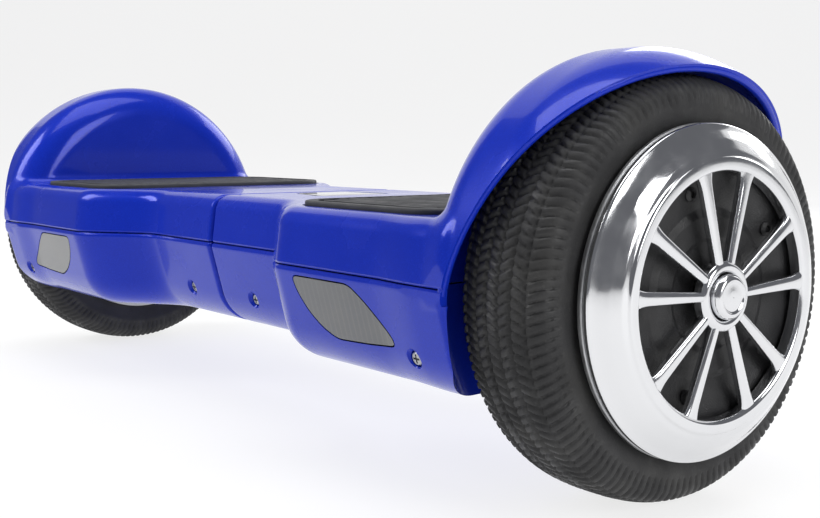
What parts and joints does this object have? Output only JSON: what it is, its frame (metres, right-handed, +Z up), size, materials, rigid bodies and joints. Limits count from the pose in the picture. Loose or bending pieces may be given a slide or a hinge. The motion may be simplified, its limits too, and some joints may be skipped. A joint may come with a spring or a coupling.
{
  "type": "self balancing hoverboard",
  "caption": "Two-wheeled self-balancing board: two twisting halves with footpads, domed fenders and hub-motor wheels with spoked caps.",
  "frame": {"origin": "on the ground, under the middle of the board", "axes": "+X along the wheel axles to the right wheel, -Y the front with the headlights, +Z up"},
  "size_m": [0.578, 0.188, 0.178],
  "materials": {
    "blue_shell": "high gloss metallic blue",
    "pad_rubber": "matt, ribbed",
    "lens": "smoked translucent",
    "window": "gloss black",
    "black_plastic": "satin moulded",
    "tyre": "solid rubber with fine tread",
    "chrome": "bright plated",
    "alloy": "cast and machined",
    "steel": "turned",
    "winding": "copper windings on steel laminations",
    "circuit": "solder-masked circuit board",
    "battery": "shrink-wrapped cells",
    "nylon": "natural nylon"
  },
  "bodies": {
    "left_half": {"left_upper_shell": "blue_shell", "left_lower_shell": "blue_shell", "left_headlight_lens": "lens", "left_headlight_board": "circuit", "left_frame": "alloy", "left_axle_clamp": "alloy", "left_clamp_bolt_front": "steel", "left_clamp_bolt_rear": "steel", "left_sensor_board": "circuit", "left_motor_axle": "steel", "left_motor_stator": "winding", "left_inner_bearing": "steel", "left_outer_bearing": "steel", "left_shell_screw_1": "steel", "left_shell_screw_2": "steel", "battery_pack": "battery", "pivot_tube": "steel", "pivot_circlip": "steel"},
    "right_half": {"right_upper_shell": "blue_shell", "right_lower_shell": "blue_shell", "right_headlight_lens": "lens", "right_headlight_board": "circuit", "right_frame": "alloy", "right_axle_clamp": "alloy", "right_clamp_bolt_front": "steel", "right_clamp_bolt_rear": "steel", "right_sensor_board": "circuit", "right_motor_axle": "steel", "right_motor_stator": "winding", "right_inner_bearing": "steel", "right_outer_bearing": "steel", "right_shell_screw_1": "steel", "right_shell_screw_2": "steel", "control_board": "circuit", "indicator_window": "window", "charge_socket": "black_plastic", "pivot_bush_inner": "nylon", "pivot_bush_outer": "nylon"},
    "left_wheel": {"left_tyre": "tyre", "left_rim": "alloy", "left_magnet_ring": "steel", "left_motor_cover": "alloy", "left_hub_back_plate": "black_plastic", "left_hub_cap": "chrome", "left_hub_centre_cap": "chrome"},
    "right_wheel": {"right_tyre": "tyre", "right_rim": "alloy", "right_magnet_ring": "steel", "right_motor_cover": "alloy", "right_hub_back_plate": "black_plastic", "right_hub_cap": "chrome", "right_hub_centre_cap": "chrome"},
    "left_footpad": {"left_foot_pad": "pad_rubber", "left_switch_plunger_front": "nylon", "left_switch_plunger_rear": "nylon"},
    "right_footpad": {"right_foot_pad": "pad_rubber", "right_switch_plunger_front": "nylon", "right_switch_plunger_rear": "nylon"},
    "switch_button": {"power_button": "black_plastic"},
    "socket_lid": {"charge_port_lid": "pad_rubber"}
  },
  "joints": [
    {"name": "centre_twist", "type": "hinge", "parent": "left_half", "child": "right_half", "pos_m": [0, 0, 0.084], "axis": [1, 0, 0], "range_deg": [-12, 12]},
    {"name": "left_wheel_spin", "type": "hinge", "parent": "left_half", "child": "left_wheel", "pos_m": [-0.248, 0, 0.084], "axis": [1, 0, 0], "continuous": true},
    {"name": "right_wheel_spin", "type": "hinge", "parent": "right_half", "child": "right_wheel", "pos_m": [0.248, 0, 0.084], "axis": [1, 0, 0], "continuous": true},
    {"name": "left_pad_press", "type": "slide", "parent": "left_half", "child": "left_footpad", "axis": [0, 0, -1], "range_m": [0, 0.0015], "stiffness_N_per_m": 20000},
    {"name": "right_pad_press", "type": "slide", "parent": "right_half", "child": "right_footpad", "axis": [0, 0, -1], "range_m": [0, 0.0015], "stiffness_N_per_m": 20000},
    {"name": "power_press", "type": "slide", "parent": "right_half", "child": "switch_button", "axis": [0, -0.9659, 0.2588], "range_m": [0, 0.0015], "stiffness_N_per_m": 2000},
    {"name": "charge_lid_hinge", "type": "hinge", "parent": "right_half", "child": "socket_lid", "pos_m": [0.156, 0.09248, 0.08114], "axis": [1, 0, 0], "range_deg": [0, 110]}
  ]
}
